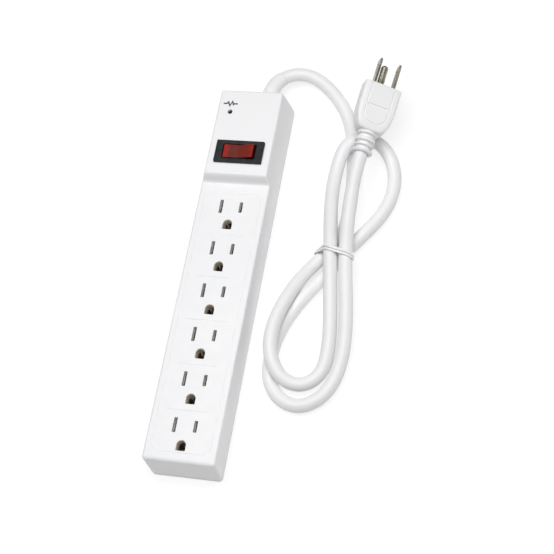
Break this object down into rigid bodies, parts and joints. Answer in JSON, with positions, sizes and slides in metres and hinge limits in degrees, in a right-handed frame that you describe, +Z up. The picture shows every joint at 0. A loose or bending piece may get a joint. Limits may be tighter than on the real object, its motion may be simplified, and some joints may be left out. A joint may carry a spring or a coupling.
{
  "type": "power strip",
  "caption": "Long white outlet strip with a raised switch end, a red rocker, a surge light and a tied mains cord with a three-pin plug.",
  "frame": {"origin": "on the surface the strip stands on, under the middle of the case", "axes": "+Z up out of the outlets, +Y along the strip from the outlet end to the cord end, +X across it to the right when looking along +Y"},
  "size_m": [0.1221, 0.28, 0.0391],
  "materials": {
    "white_case": "satin white moulded",
    "white_cord": "soft white PVC, slight sheen",
    "dark_bezel": "dark grey, satin",
    "rocker_red": "dark red translucent, polished",
    "brass": "rolled strip",
    "blade_metal": "nickel-plated, polished",
    "steel": "zinc-plated",
    "lamp_glass": "clear",
    "board": "green laminate",
    "varistor_blue": "dipped epoxy",
    "fuse": "ceramic sleeve",
    "indicator": "dark lens",
    "black_wire": "insulation",
    "white_wire": "insulation",
    "green_wire": "insulation",
    "tie_plastic": "white coated wire"
  },
  "bodies": {
    "strip": {"top_cover": "white_case", "base_cover": "white_case", "cord_strain_relief": "white_cord", "power_cord": "white_cord", "plug_body": "white_cord", "plug_strain_relief": "white_cord", "switch_housing": "dark_bezel", "hot_bus": "brass", "neutral_bus": "brass", "ground_bus": "brass", "switch_terminal_line": "brass", "switch_terminal_load": "brass", "switch_terminal_neutral": "brass", "plug_blade_hot": "blade_metal", "plug_blade_neutral": "blade_metal", "plug_ground_pin": "blade_metal", "case_screw_1": "steel", "case_screw_2": "steel", "case_screw_3": "steel", "case_screw_4": "steel", "switch_pivot_pin": "steel", "neon_lamp": "lamp_glass", "surge_board": "board", "mov_1": "varistor_blue", "mov_2": "varistor_blue", "mov_3": "varistor_blue", "thermal_fuse": "fuse", "surge_led": "indicator", "lead_hot_in": "black_wire", "lead_hot_out": "black_wire", "surge_lead_hot": "black_wire", "lead_neutral": "white_wire", "surge_lead_neutral": "white_wire", "lead_ground": "green_wire", "cord_tie": "tie_plastic"},
    "rocker": {"switch_rocker": "rocker_red", "switch_plunger": "steel", "plunger_spring": "steel"},
    "switch_contact": {"contact_arm": "brass"}
  },
  "joints": [
    {"name": "switch_rock", "type": "hinge", "parent": "strip", "child": "rocker", "pos_m": [0, 0.0759, 0.0295], "axis": [0, 1, 0], "range_deg": [0, 12]},
    {"name": "contact_tilt", "type": "hinge", "parent": "strip", "child": "switch_contact", "pos_m": [0, 0.0759, 0.0184], "axis": [0, 1, 0], "range_deg": [-12, 0]}
  ],
  "couplings": [
    {"joint": "contact_tilt", "follows": "switch_rock", "ratio": -1}
  ]
}
